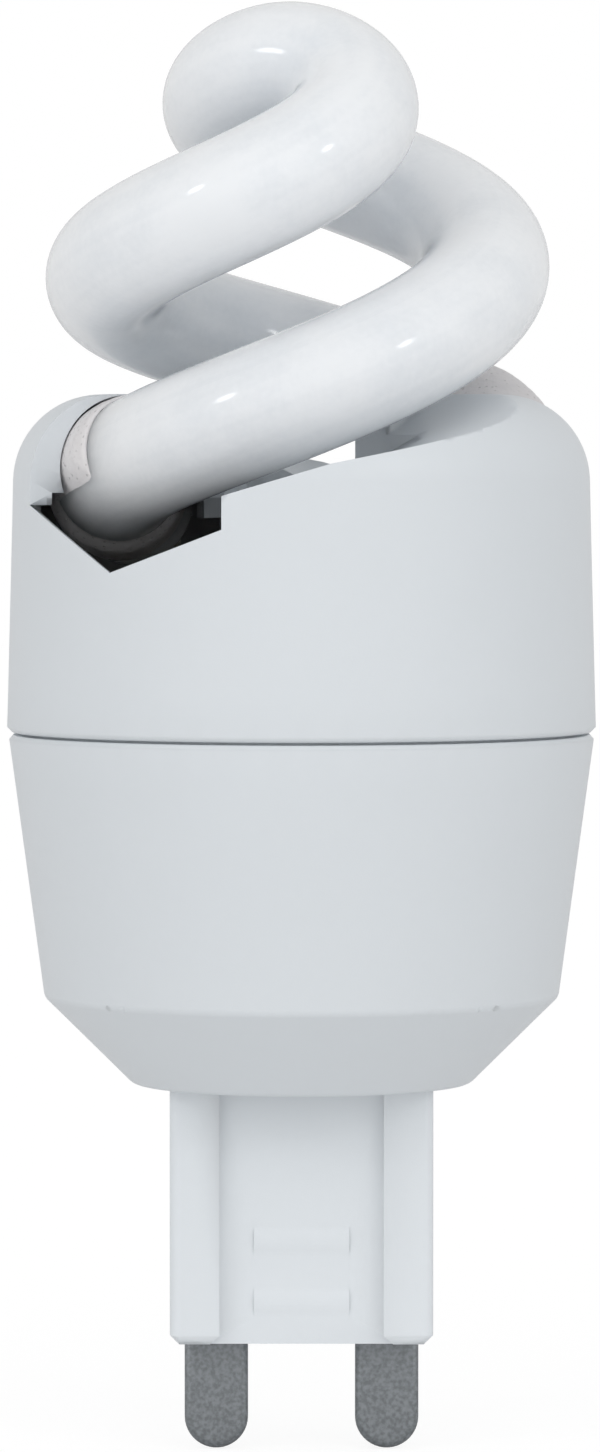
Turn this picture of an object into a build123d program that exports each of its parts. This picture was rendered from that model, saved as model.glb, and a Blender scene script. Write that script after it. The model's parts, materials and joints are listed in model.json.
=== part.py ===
"""Spiral compact fluorescent lamp: a double-helix glass tube on a round housing with a flat two-pin base.

The origin is on the lamp's axis at the seating face of the base block. +Z runs towards the top of the glass, the two
pins stand side by side along X, and the side with the open window at its left faces -Y. Angles are measured round
+Z from +X. The cap of the housing and the glass both repeat after half a turn.
"""

import os
from math import cos, degrees, hypot, pi, radians, sin

from build123d import *

# Glass coil
tube_diameter = 6.6
coil_inset = 5.45
coil_turn_height = 20.95
coil_height = 21.5
coil_foot_lift = 13.5
coil_turn = 366
crossing_angle = -24.4
crossing_sweep = 2.757
crossing_start = 2.134
crossing_corner = 5.4
crown_ease = 1.333
tube_end_round = 1.2
coil_lean_front = 5.6
coil_lean_side = -2.8
coil_shift = 0.3

# Housing shell
wall = 1.2
reveal = 0.15
edge_break = 0.25
fit_gap = 0.05

# Cup, the lower half of the housing
cup_bottom = 13.5
cup_bottom_radius = 8.9
cup_shoulder = 18.1
cup_shoulder_radius = 13.55
cup_rim = 31.9
cup_rim_radius = 15.42
cup_round = 0.7
rim_wall = 1.27
board_rib_count = 4
board_rib_width = 1.2
board_rib_depth = 1.3
board_rib_angle = 45

# Cap, the upper half of the housing
cap_overhang = 0.08
cap_taper = 0.45
cap_height = 17.7
cap_shoulder_round = 4.6
lip_wall = 1.1
seat_width = 0.65

# Two ramps under the glass
ramp_turn_height = 27.8
ramp_mark_angle = -84.3
ramp_mark_lift = 12.9
ramp_start_angle = -131
ramp_end_angle = -12
ramp_round = 2.1
ramp_round_angle = 65
rear_ramp_rise = 0.8
well_radius = 9.3
well_lift = 12.45
hub_radius = 4.3
hub_depth = 2.7
trough_end_angle = -50

# Two windows where the glass goes in
window_left_angle = -158
window_left_lift = 11.94
window_low_angle = -130.1
window_low_lift = 8.53
window_right_angle = -105.5
window_right_lift = 10.76
end_wall_lift = 12.57
tunnel_turn_start = 300
tunnel_gap = 0.4
cement_reach = 0.55
cement_turn_start = 312
cement_turn_end = 320

# Base block and pins
base_width = 13.8
rib_width = 2.6
rib_depth = 7.4
web_depth = 5.8
block_corner = 0.5
flange_overhang = 0.7
flange_thickness = 1.2
flange_corner = 2.2
pocket_floor = 6.0
pocket_wall = 1.2
ridge_length = 5.0
ridge_height = 1.6
ridge_proud = 0.12
ridge_first = 2.2
ridge_spacing = 3.2
ridge_count = 2
pin_spacing = 9.0
pin_width = 3.35
pin_thickness = 1.0
pin_reach = 5.85
pin_edge = 0.35
pin_root = 9.0

# Circuit board
board_thickness = 1.2
board_gap = 0.15
lip_length = 2.7
lead_diameter = 0.6
lead_stub = 0.4

# Parts on the board's upper side
part_gap = 0.25
can_clearance = 1.8
can_lead_spacing = 3.5
can_crimp = 0.35
can_crimp_height = 1.6
toroid_diameter = 7.6
toroid_bore = 3.6
toroid_height = 3.4
winding_wire = 0.45
winding_band = 1.7
winding_count = 3
winding_angle = 30
transistor_width = 4.4
transistor_flat = 1.3
transistor_height = 4.6
transistor_angles = (225, 262)
transistor_lift = 2.0
transistor_pitch = 1.27
post_side = 0.8
post_height = 6.0
post_inset = 1.6
post_angles = (128, 146)
fuse_diameter = 2.8
fuse_length = 5.0
fuse_inset = 3.6
starter_width = 2.6
starter_depth = 5.0
starter_height = 6.0
starter_inset = 3.8

# Parts on the board's lower side
core_width = 12.6
core_clearance = 2.05
core_depth = 4.0
core_leg = 1.8
core_drop = 1.2
bobbin_wall = 0.5
bobbin_flange = 0.6
bobbin_depth = 9.4
winding_inset = 0.3
winding_corner = 1.5
choke_pin_spacing = 6.0
choke_pin_root = 2.0
film_width = 8.6
film_depth = 3.6
film_height = 7.2
film_offset = 7.9
film_round = 0.8
film_lead_spacing = 5.0
diode_diameter = 2.4
diode_length = 4.6
diode_spacing = 11.6
diode_offset = 8.4
diode_drop = 0.5

# Wires
wire_diameter = 0.7
wire_bend = 1.5
supply_offset = 7.3
filament_spread = 1.6

# Values that follow from the driving ones
tube_radius = tube_diameter / 2
rim_bore_radius = cup_rim_radius - rim_wall
cap_foot = cup_rim + reveal
cap_top = cap_foot + cap_height
cap_foot_radius = cup_rim_radius + cap_overhang
cap_side_radius = cap_foot_radius - cap_taper
coil_foot = cap_foot + coil_foot_lift
ramp_mark_height = cap_foot + ramp_mark_lift
well_floor = cap_foot + well_lift
window_left_height = cap_foot + window_left_lift
window_low_height = cap_foot + window_low_lift
window_right_height = cap_foot + window_right_lift
end_wall_foot = cap_foot + end_wall_lift
board_top = cap_foot - lip_length
board_seat = board_top - board_thickness
lip_radius = rim_bore_radius - fit_gap
board_bore = lip_radius - lip_wall
coil_radius = cap_foot_radius - coil_inset
toroid_offset = board_bore - toroid_diameter / 2 - winding_wire - part_gap
can_diameter = 2 * toroid_offset - toroid_diameter - 2 * winding_wire - 2 * part_gap
transistor_radius = board_bore - transistor_width / 2 - part_gap
post_radius = board_bore - post_inset
fuse_offset = fuse_inset - board_bore
starter_offset = board_bore - starter_inset
ramp_inner_radius = (hub_radius + well_radius) / 2
ramp_floor_edge = cap_side_radius - ramp_round * sin(radians(ramp_round_angle))
lead_radius = lead_diameter / 2
upright = (Align.CENTER, Align.CENTER, Align.MIN)

os.makedirs("parts", exist_ok=True)


def radial_plane(angle: float) -> Plane:
    """The upright plane through the axis at an angle: local X points outwards, local Y up."""
    turn = radians(angle)
    return Plane(origin=(0, 0, 0), x_dir=(cos(turn), sin(turn), 0), z_dir=(sin(turn), -cos(turn), 0))


# The glass follows one curve from end to end: each strand leaves the axis at the top, swings out to the coil's
# radius and winds down, and the second strand is the first one turned by half a turn.
def coil_point(sweep: float) -> Vector:
    """A point of the tube's centre line. The sweep is 0 at the top, and its sign chooses the strand."""
    reach = abs(sweep)
    radius = coil_radius * sweep / (reach**crossing_corner + crossing_sweep**crossing_corner) ** (1 / crossing_corner)
    angle = radians(crossing_angle) - hypot(sweep, crossing_start) + crossing_start
    drop = coil_turn_height / (2 * pi) * (hypot(sweep, crown_ease) - crown_ease)
    plain = Vector(radius * cos(angle), radius * sin(angle), coil_height - drop)
    leaned = plain.rotate(Axis.X, coil_lean_front).rotate(Axis.Y, coil_lean_side)
    return leaned + Vector(coil_shift, 0, coil_foot)


def sweep_at(turn: float) -> float:
    """The sweep at which a strand has turned by so many degrees."""
    full = radians(turn) + crossing_start
    return (full**2 - crossing_start**2) ** 0.5


def tube_along(first: float, last: float, radius: float, steps: int) -> Part:
    """A round bar along the coil between two sweeps."""
    points = [coil_point(first + (last - first) * step / steps) for step in range(steps + 1)]
    with BuildPart() as bar:
        with BuildLine() as route:
            Spline(*points)
        with BuildSketch(Plane(origin=route.line @ 0, z_dir=route.line % 0)):
            Circle(radius)
        sweep()
    return bar.part


coil_end = sweep_at(coil_turn)

with BuildPart() as discharge_tube:
    add(tube_along(-coil_end, coil_end, tube_radius, 72))
    fillet(discharge_tube.faces().filter_by(GeomType.PLANE).edges(), tube_end_round)

# The cap is a thin moulded shell. Outside it is a drum with a round shoulder, with a ramp under each strand.
side_taper = (cap_foot_radius - cap_side_radius) / (cap_top - cap_foot)


def cap_section(inset: float, foot: float) -> Sketch:
    """Half of the drum's section, set in from the outside by a wall."""
    top = cap_top - inset
    with BuildSketch(Plane.XZ) as section:
        with BuildLine():
            Polyline(
                (0, foot),
                (cap_foot_radius - inset, foot),
                (cap_side_radius - inset, top),
                (0, top),
                close=True,
            )
        make_face()
        fillet(section.vertices().group_by(Axis.Y)[-1].sort_by(Axis.X)[-1], cap_shoulder_round - inset)
    return section.sketch


def ramp_height(angle: float) -> float:
    """Height of the front ramp's floor at an angle."""
    return ramp_mark_height + (angle - ramp_mark_angle) * ramp_turn_height / 360


def over_ramp(depth: float, inner_radius: float) -> Part:
    """The space over the front ramp, from a depth under its floor up past the cap's top."""
    low = ramp_height(ramp_start_angle)
    outer_radius = cap_foot_radius + wall
    high = cap_top + wall - low
    with BuildPart() as space:
        with BuildLine() as route:
            Helix(ramp_turn_height, ramp_height(ramp_end_angle) - low, coil_radius)
        with BuildSketch(Plane.XZ):
            with BuildLine():
                floor = Line((inner_radius, -depth), (ramp_floor_edge, -depth))
                edge = JernArc(floor @ 1, floor % 1, -ramp_round, ramp_round_angle)
                Polyline(
                    edge @ 1,
                    (outer_radius, (edge @ 1).Y),
                    (outer_radius, high + depth),
                    (inner_radius, high + depth),
                    floor @ 0,
                )
            make_face()
        sweep(path=route.line, is_frenet=True)
    return Location((0, 0, low), (0, 0, ramp_start_angle)) * space.part


def sector(points: list, first_angle: float, last_angle: float) -> Part:
    """A profile of radius and height, turned round the axis from one angle to another."""
    with BuildPart() as wedge:
        with BuildSketch(radial_plane(first_angle)):
            with BuildLine():
                Polyline(*points, close=True)
            make_face()
        revolve(axis=Axis.Z, revolution_arc=last_angle - first_angle)
    return wedge.part


def block(first_angle: float, last_angle: float, radii: tuple, heights: tuple) -> Part:
    """A sector of a plain ring."""
    (inner, outer), (low, high) = radii, heights
    return sector([(inner, low), (outer, low), (outer, high), (inner, high)], first_angle, last_angle)


window_reach = cap_side_radius + side_taper * (cap_top - window_left_height)
shell_inside = window_reach - wall
cut_top = cap_top + 2 * wall
cut_radius = cap_foot_radius + wall
end_wall_angle = degrees(wall / coil_radius)


def window_corner(angle: float, height: float) -> tuple:
    """A corner of the front window, seen from the front."""
    return window_reach * cos(radians(angle)), height


with BuildPart() as window_notch:
    with BuildSketch(Plane.XZ.offset(cut_radius)):
        with BuildLine():
            Polyline(
                window_corner(window_left_angle, window_left_height),
                window_corner(window_low_angle, window_low_height),
                window_corner(window_right_angle, window_right_height),
                window_corner(window_right_angle, window_left_height),
                close=True,
            )
        make_face()
    extrude(amount=-(cut_radius + window_reach * sin(radians(window_left_angle)) + 2 * wall))

# The front and the rear ramp are alike, but the rear one lies a little higher, as the glass does there.
ramp_places = (Location((0, 0, 0)), Location((0, 0, rear_ramp_rise), (0, 0, 180)))

# The hollow inside the cap keeps one wall's thickness under the ramps, the middle and the end walls.
with BuildPart() as cap_hollow:
    revolve(cap_section(wall, cap_foot + lip_wall), axis=Axis.Z)
    for place in ramp_places:
        add(place * over_ramp(wall, ramp_inner_radius - wall), mode=Mode.SUBTRACT)
    with PolarLocations(0, 2):
        add(
            block(
                window_left_angle - end_wall_angle,
                window_left_angle,
                (hub_radius, cut_radius),
                (end_wall_foot, cut_top),
            ),
            mode=Mode.SUBTRACT,
        )
        add(
            block(
                window_low_angle,
                trough_end_angle + end_wall_angle,
                (hub_radius - wall, well_radius + wall),
                (well_floor - wall, cut_top),
            ),
            mode=Mode.SUBTRACT,
        )
    with Locations((0, 0, well_floor - wall)):
        Cylinder(hub_radius + wall, cut_top, align=upright, mode=Mode.SUBTRACT)
    with Locations((0, 0, well_floor - hub_depth)):
        Cylinder(hub_radius, hub_depth, align=upright, mode=Mode.SUBTRACT)
        Cylinder(hub_radius - wall, hub_depth - wall, align=upright)

with BuildPart() as upper_housing:
    revolve(cap_section(0, cap_foot), axis=Axis.Z)
    chamfer(upper_housing.faces().sort_by(Axis.Z)[0].edges(), edge_break)
    with Locations((0, 0, board_top)):
        Cylinder(lip_radius, cap_foot - board_top + wall, align=upright)
    with Locations((0, 0, cup_rim)):
        Cylinder(lip_radius + seat_width, wall, align=upright)
    with Locations((0, 0, board_top)):
        Cylinder(
            lip_radius - lip_wall,
            cap_foot + 2 * lip_wall - board_top,
            align=upright,
            mode=Mode.SUBTRACT,
        )
    add(cap_hollow.part, mode=Mode.SUBTRACT)
    for place in ramp_places:
        add(place * over_ramp(0, ramp_inner_radius), mode=Mode.SUBTRACT)
    with PolarLocations(0, 2):
        add(
            sector(
                [
                    (hub_radius, board_top + wall),
                    (shell_inside, board_top + wall),
                    (shell_inside, window_left_height),
                    (cut_radius, window_left_height),
                    (cut_radius, cut_top),
                    (hub_radius, cut_top),
                ],
                window_left_angle,
                window_right_angle,
            ),
            mode=Mode.SUBTRACT,
        )
        add(
            block(
                window_low_angle,
                trough_end_angle,
                (hub_radius - wall, well_radius),
                (well_floor, cut_top),
            ),
            mode=Mode.SUBTRACT,
        )
        add(window_notch.part, mode=Mode.SUBTRACT)
    with Locations((0, 0, well_floor)):
        Cylinder(hub_radius + fit_gap, cut_top, align=upright, mode=Mode.SUBTRACT)
    for side in (-1, 1):
        add(
            tube_along(side * sweep_at(tunnel_turn_start), side * coil_end, tube_radius + tunnel_gap, 16),
            mode=Mode.SUBTRACT,
        )

# White cement fills the ring round the glass where each strand goes in, and stands a little proud of the wall.
def cement(side: int) -> Part:
    """The bead round one end of the glass, on the strand that a sign chooses."""
    first, last = side * sweep_at(cement_turn_start), side * sweep_at(cement_turn_end)
    with BuildPart() as bead:
        add(tube_along(first, last, tube_radius + cement_reach, 8))
        add(tube_along(side * sweep_at(tunnel_turn_start), side * coil_end, tube_radius, 16), mode=Mode.SUBTRACT)
        add(upper_housing.part, mode=Mode.SUBTRACT)
    return bead.part


# The cup is a tapered shell with a bevelled bottom. Ribs inside carry the circuit board.
with BuildPart() as cup_body:
    with BuildSketch(Plane.XZ):
        with BuildLine():
            Polyline(
                (0, cup_bottom),
                (cup_bottom_radius, cup_bottom),
                (cup_shoulder_radius, cup_shoulder),
                (cup_rim_radius, cup_rim),
                (0, cup_rim),
                close=True,
            )
        make_face()
    revolve(axis=Axis.Z)

with BuildPart() as board_ribs:
    with PolarLocations(rim_bore_radius - board_rib_depth, board_rib_count, board_rib_angle):
        with Locations((0, 0, cup_bottom + wall / 2)):
            Box(
                2 * board_rib_depth,
                board_rib_width,
                board_seat - cup_bottom - wall / 2,
                align=(Align.MIN, Align.CENTER, Align.MIN),
            )
    add(cup_body.part, mode=Mode.INTERSECT)

with BuildPart() as lower_housing:
    add(cup_body.part)
    offset(amount=-wall, openings=lower_housing.faces().sort_by(Axis.Z)[-1])
    rings = lower_housing.edges().filter_by(GeomType.CIRCLE)
    bottom_ring = rings.filter_by(lambda edge: edge.radius == cup_bottom_radius)
    shoulder_ring = rings.filter_by(lambda edge: edge.radius == cup_shoulder_radius)
    fillet(bottom_ring + shoulder_ring, cup_round)
    chamfer(lower_housing.edges().filter_by(GeomType.CIRCLE).sort_by(SortBy.RADIUS)[-1], edge_break)
    with Locations((0, 0, board_seat)):
        Cylinder(rim_bore_radius, cup_rim, align=upright, mode=Mode.SUBTRACT)
    add(board_ribs.part)
    with BuildSketch(Plane.XY.offset(cup_bottom)):
        Rectangle(base_width, web_depth)
        with Locations((-(base_width - rib_width) / 2, 0), ((base_width - rib_width) / 2, 0)):
            Rectangle(rib_width, rib_depth)
    extrude(amount=wall, mode=Mode.SUBTRACT)

# The two pins are flat blades with round ends, held in slots through the floor of the base block.
def pin(side: int) -> Part:
    """One pin, on the side of the axis that a sign chooses."""
    blade = pin_width / 2
    with BuildPart() as one:
        with BuildSketch(Plane.XZ.offset(-pin_thickness / 2)):
            with Locations((side * pin_spacing / 2, pin_root)):
                Rectangle(pin_width, pin_root + pin_reach - blade, align=(Align.CENTER, Align.MAX))
            with Locations((side * pin_spacing / 2, blade - pin_reach)):
                Circle(blade)
        extrude(amount=pin_thickness)
        rims = one.faces().filter_by(Axis.Y).edges()
        fillet(rims.filter_by(lambda edge: edge.center().Z < pin_root - fit_gap), pin_edge)
    return one.part


pins = {side: pin(side) for side in (-1, 1)}
block_top = cup_bottom + wall
flange_top = block_top + flange_thickness

with BuildPart() as base_block:
    with BuildSketch():
        Rectangle(base_width, web_depth)
        with Locations((-(base_width - rib_width) / 2, 0), ((base_width - rib_width) / 2, 0)):
            Rectangle(rib_width, rib_depth)
    extrude(amount=block_top)
    outer_sides = base_block.faces().filter_by(Axis.X).group_by(Axis.X)
    fillet((outer_sides[0] + outer_sides[-1]).edges().filter_by(Axis.Z), block_corner)
    chamfer(base_block.faces().sort_by(Axis.Z)[0].edges().filter_by(Axis.Y), block_corner)
    with BuildSketch(Plane.XY.offset(block_top)):
        RectangleRounded(base_width + 2 * flange_overhang, rib_depth + 2 * flange_overhang, flange_corner)
    extrude(amount=flange_thickness)
    for row in range(ridge_count):
        with BuildSketch(Plane.YZ.offset(-ridge_length / 2)):
            with BuildLine():
                low = (web_depth / 2, ridge_first + row * ridge_spacing - ridge_height / 2)
                high = (web_depth / 2, ridge_first + row * ridge_spacing + ridge_height / 2)
                crown = (web_depth / 2 + ridge_proud, ridge_first + row * ridge_spacing)
                ThreePointArc(low, crown, high)
                Line(high, low)
            make_face()
            mirror(about=Plane.YZ)
        extrude(amount=ridge_length)
    with BuildSketch(Plane.XY.offset(pocket_floor)):
        RectangleRounded(base_width - 2 * pocket_wall, web_depth - 2 * pocket_wall, block_corner)
    extrude(amount=flange_top - pocket_floor, mode=Mode.SUBTRACT)
    for blade in pins.values():
        add(blade, mode=Mode.SUBTRACT)


# Every lead goes through the circuit board and fills its hole, as a soldered one does.
def legs(spots: list, low: float, high: float) -> Part:
    """Round leads that stand at some spots between two heights."""
    with BuildPart() as group:
        with Locations(*[(x, y, low) for x, y in spots]):
            Cylinder(lead_radius, high - low, align=upright)
    return group.part


def round_spot(radius: float, angle: float) -> tuple:
    """A spot at a radius and an angle."""
    return radius * cos(radians(angle)), radius * sin(radians(angle))


stub_foot = board_seat - lead_stub
stub_head = board_top + lead_stub
can_spots = [(-can_lead_spacing / 2, 0), (can_lead_spacing / 2, 0)]
starter_spots = [(starter_offset, -starter_depth / 4), (starter_offset, starter_depth / 4)]
transistor_spots = {
    angle: [
        round_spot(hypot(transistor_radius, step), angle + degrees(step / transistor_radius))
        for step in (-transistor_pitch, 0, transistor_pitch)
    ]
    for angle in transistor_angles
}
choke_spots = [
    (x * choke_pin_spacing / 2, y * (core_depth + bobbin_depth) / 4) for x in (-1, 1) for y in (-1, 1)
]
film_spots = {side: [(x * film_lead_spacing / 2, side * film_offset) for x in (-1, 1)] for side in (-1, 1)}
diode_height = board_seat - diode_drop - diode_diameter / 2
diode_centres = [(x * diode_offset, y * diode_spacing / 2) for x in (-1, 1) for y in (-1, 1)]
post_spots = {side: [round_spot(-side * post_radius, angle) for angle in post_angles] for side in (-1, 1)}

with BuildPart() as bulk_capacitor:
    with Locations((0, 0, board_top)):
        Cylinder(can_diameter / 2, well_floor - wall - can_clearance - board_top, align=upright)
    fillet(bulk_capacitor.faces().sort_by(Axis.Z)[-1].edges(), can_crimp)
    with BuildSketch(Plane.XZ):
        with Locations((can_diameter / 2, board_top + can_crimp_height)):
            Circle(can_crimp)
    revolve(axis=Axis.Z, mode=Mode.SUBTRACT)
    add(legs(can_spots, stub_foot, board_top))

with BuildPart() as starting_capacitor:
    with Locations((starter_offset, 0, board_top)):
        Box(starter_width, starter_depth, starter_height, align=upright)
    fillet(starting_capacitor.edges().filter_by(Axis.Z), film_round)
    fillet(starting_capacitor.faces().sort_by(Axis.Z)[-1].edges(), film_round / 2)
    add(legs(starter_spots, stub_foot, board_top))

with BuildPart() as driver_core:
    with Locations((0, toroid_offset, board_top + winding_wire)):
        Cylinder(toroid_diameter / 2, toroid_height, align=upright)
        Cylinder(toroid_bore / 2, toroid_height, align=upright, mode=Mode.SUBTRACT)
    fillet(driver_core.edges().filter_by(GeomType.CIRCLE), winding_wire)

with BuildPart() as driver_windings:
    with Locations((0, toroid_offset, board_top)):
        with PolarLocations((toroid_diameter + toroid_bore) / 4, winding_count, winding_angle):
            Box(
                (toroid_diameter - toroid_bore) / 2 + 2 * winding_wire,
                winding_band,
                toroid_height + 2 * winding_wire,
                align=upright,
            )
    fillet(driver_windings.edges().filter_by(GeomType.LINE).group_by(Axis.Z)[-1], winding_wire / 2)
    with Locations((0, toroid_offset, board_top + winding_wire)):
        Cylinder(toroid_diameter / 2, toroid_height, align=upright, mode=Mode.SUBTRACT)


def transistor(angle: float) -> Part:
    """A small D-shaped transistor on three legs, with its flat towards the axis."""
    seat = board_top + transistor_lift
    with BuildPart() as body:
        with BuildSketch(Plane.XY.offset(seat).rotated((0, 0, angle))):
            with Locations((transistor_radius, 0)):
                Circle(transistor_width / 2)
            with Locations((transistor_radius - transistor_flat, 0)):
                Rectangle(transistor_width, transistor_width, align=(Align.MAX, Align.CENTER), mode=Mode.SUBTRACT)
        extrude(amount=transistor_height)
        add(legs(transistor_spots[angle], stub_foot, seat))
    return body.part


def axial_part(diameter: float, length: float, centres: list, height: float, end: float) -> Part:
    """Small round bodies that lie along Y with a lead bent off each end towards the board."""
    with BuildPart() as group:
        for x, y in centres:
            with Locations(Location((x, y, height), (90, 0, 0))):
                Cylinder(diameter / 2, length)
        fillet(group.edges().filter_by(GeomType.CIRCLE), diameter / 8)
        for x, y in centres:
            reach = length / 2 + lead_diameter
            with Locations(Location((x, y, height), (90, 0, 0))):
                Cylinder(lead_radius, 2 * reach)
            add(legs([(x, y - reach), (x, y + reach)], min(height, end), max(height, end)))
    return group.part


with BuildPart() as fuse_resistor:
    add(axial_part(fuse_diameter, fuse_length, [(fuse_offset, 0)], board_top + fuse_diameter / 2, stub_foot))

with BuildPart() as rectifier_diodes:
    add(axial_part(diode_diameter, diode_length, diode_centres, diode_height, stub_head))

# The choke hangs under the board: two E-shaped core halves round a bobbin with its winding.
core_top = board_seat - core_drop
core_foot = flange_top + core_clearance
core_height = core_top - core_foot
core_middle = (core_top + core_foot) / 2
window_width = (core_width - 4 * core_leg) / 2
window_height = core_height - 2 * core_leg
tube_inside = (2 * core_leg + 2 * fit_gap, core_depth + 2 * fit_gap)
tube_outside = (tube_inside[0] + 2 * bobbin_wall, tube_inside[1] + 2 * bobbin_wall)
flange_width = core_width - 2 * core_leg - 2 * fit_gap
bobbin_height = window_height - 2 * fit_gap


def core_half(way: int) -> Part:
    """One E-shaped half, above or below the middle of the core."""
    with BuildPart() as half:
        with Locations((0, 0, core_middle + way * core_height / 4)):
            Box(core_width, core_depth, core_height / 2)
        with Locations(*[(x * (core_leg + window_width / 2), 0, core_middle + way * window_height / 4) for x in (-1, 1)]):
            Box(window_width, core_depth, window_height / 2, mode=Mode.SUBTRACT)
    return half.part


with BuildPart() as choke_bobbin:
    with Locations((0, 0, core_middle)):
        Box(tube_outside[0], tube_outside[1], bobbin_height)
    for way in (-1, 1):
        with Locations((0, 0, core_middle + way * (bobbin_height - bobbin_flange) / 2)):
            Box(flange_width, bobbin_depth, bobbin_flange)
    rail = (bobbin_depth - core_depth) / 2 - fit_gap
    with Locations(*[(0, y * (bobbin_depth - rail) / 2, core_middle + bobbin_height / 2) for y in (-1, 1)]):
        Box(flange_width, rail, board_seat - core_middle - bobbin_height / 2, align=upright)
    with Locations((0, 0, core_middle)):
        Box(tube_inside[0], tube_inside[1], bobbin_height, mode=Mode.SUBTRACT)
    add(legs(choke_spots, board_seat - choke_pin_root, board_seat), mode=Mode.SUBTRACT)

with BuildPart() as choke_pins:
    add(legs(choke_spots, board_seat - choke_pin_root, stub_head))

with BuildPart() as choke_winding:
    with Locations((0, 0, core_middle)):
        winding_height = bobbin_height - 2 * bobbin_flange
        Box(flange_width - 2 * winding_inset, bobbin_depth - 2 * winding_inset, winding_height)
        fillet(choke_winding.edges().filter_by(Axis.Z), winding_corner)
        Box(tube_outside[0], tube_outside[1], winding_height, mode=Mode.SUBTRACT)


def film_capacitor(side: int) -> Part:
    """A dipped film capacitor under the board."""
    with BuildPart() as body:
        with Locations((0, side * film_offset, board_seat)):
            Box(film_width, film_depth, film_height, align=(Align.CENTER, Align.CENTER, Align.MAX))
        fillet(body.edges().filter_by(Axis.Z), film_round)
        fillet(body.faces().sort_by(Axis.Z)[0].edges(), film_round)
        add(legs(film_spots[side], board_seat, stub_head))
    return body.part


def posts(side: int) -> Part:
    """The two wrap posts beside one end of the glass."""
    with BuildPart() as pair:
        with Locations(*[(x, y, stub_foot) for x, y in post_spots[side]]):
            Box(post_side, post_side, post_height + board_top - stub_foot, align=upright)
    return pair.part


def supply_wire(side: int) -> Part:
    """The wire from one pin, past the choke, to the board."""
    x = side * pin_spacing / 2
    far = side * supply_offset
    with BuildPart() as wire:
        with BuildLine() as route:
            FilletPolyline(
                (x, 0, pin_root),
                (x, 0, flange_top - wire_diameter),
                (far, 0, core_foot),
                (far, 0, stub_head),
                radius=wire_bend,
            )
        with BuildSketch(Plane.XY.offset(pin_root)):
            with Locations((x, 0)):
                Circle(wire_diameter / 2)
        sweep(path=route.wire())
    return wire.part


def filament_wires(side: int) -> Part:
    """The two wires from one end of the glass to the tops of its posts."""
    end, before = coil_point(side * coil_end), coil_point(side * (coil_end - fit_gap))
    ahead = (end - before).normalized()
    across = ahead.cross(Vector(0, 0, 1)).normalized()
    with BuildPart() as wires:
        for place, (x, y) in zip((-1, 1), post_spots[side]):
            start = end + across * (place * side * filament_spread / 2)
            post_top = Vector(x, y, board_top + post_height)
            with BuildLine() as route:
                Spline(start, post_top, tangents=(ahead, (0, 0, -1)))
            with BuildSketch(Plane(origin=start, z_dir=ahead)):
                Circle(wire_diameter / 2)
            sweep(path=route.wire())
    return wires.part


pieces = {
    "discharge_tube": discharge_tube.part,
    "upper_housing": upper_housing.part,
    "lower_housing": lower_housing.part,
    "base_block": base_block.part,
    "bulk_capacitor": bulk_capacitor.part,
    "starting_capacitor": starting_capacitor.part,
    "driver_core": driver_core.part,
    "driver_windings": driver_windings.part,
    "fuse_resistor": fuse_resistor.part,
    "rectifier_diodes": rectifier_diodes.part,
    "choke_core_lower": core_half(-1),
    "choke_core_upper": core_half(1),
    "choke_bobbin": choke_bobbin.part,
    "choke_pins": choke_pins.part,
    "choke_winding": choke_winding.part,
    "transistor_high": transistor(transistor_angles[0]),
    "transistor_low": transistor(transistor_angles[1]),
}
for side, hand in ((-1, "left"), (1, "right")):
    pieces[f"pin_{hand}"] = pins[side]
    pieces[f"supply_wire_{hand}"] = supply_wire(side)
    pieces[f"tube_cement_{hand}"] = cement(side)
    pieces[f"wrap_posts_{hand}"] = posts(side)
    pieces[f"filament_wires_{hand}"] = filament_wires(side)
pieces["resonant_capacitor"] = film_capacitor(-1)
pieces["blocking_capacitor"] = film_capacitor(1)

# The board is drilled last, by everything that goes through it.
with BuildPart() as circuit_board:
    with Locations((0, 0, board_seat)):
        Cylinder(rim_bore_radius - board_gap, board_thickness, align=upright)
    for piece in list(pieces.values()):
        if piece.bounding_box().min.Z < board_top and piece.bounding_box().max.Z > board_seat:
            add(piece, mode=Mode.SUBTRACT)
pieces["circuit_board"] = circuit_board.part

for label, piece in pieces.items():
    piece.label = label
    export_step(piece, f"parts/{label}.step")
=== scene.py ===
"""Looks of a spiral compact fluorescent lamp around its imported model.

The glass is wound again here as one smooth tube, and beads of cement are laid round its ends. Copies
of the housing, the base block and the pins get normals that keep flat faces flat. Every piece gets a
finish made of nodes. Lengths are in metres and angles in degrees unless a name or note says otherwise.
"""

import json
import logging
from dataclasses import dataclass, field
from enum import Enum
from math import cos, pi, radians, sin
from typing import Any, Optional, Union

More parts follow.
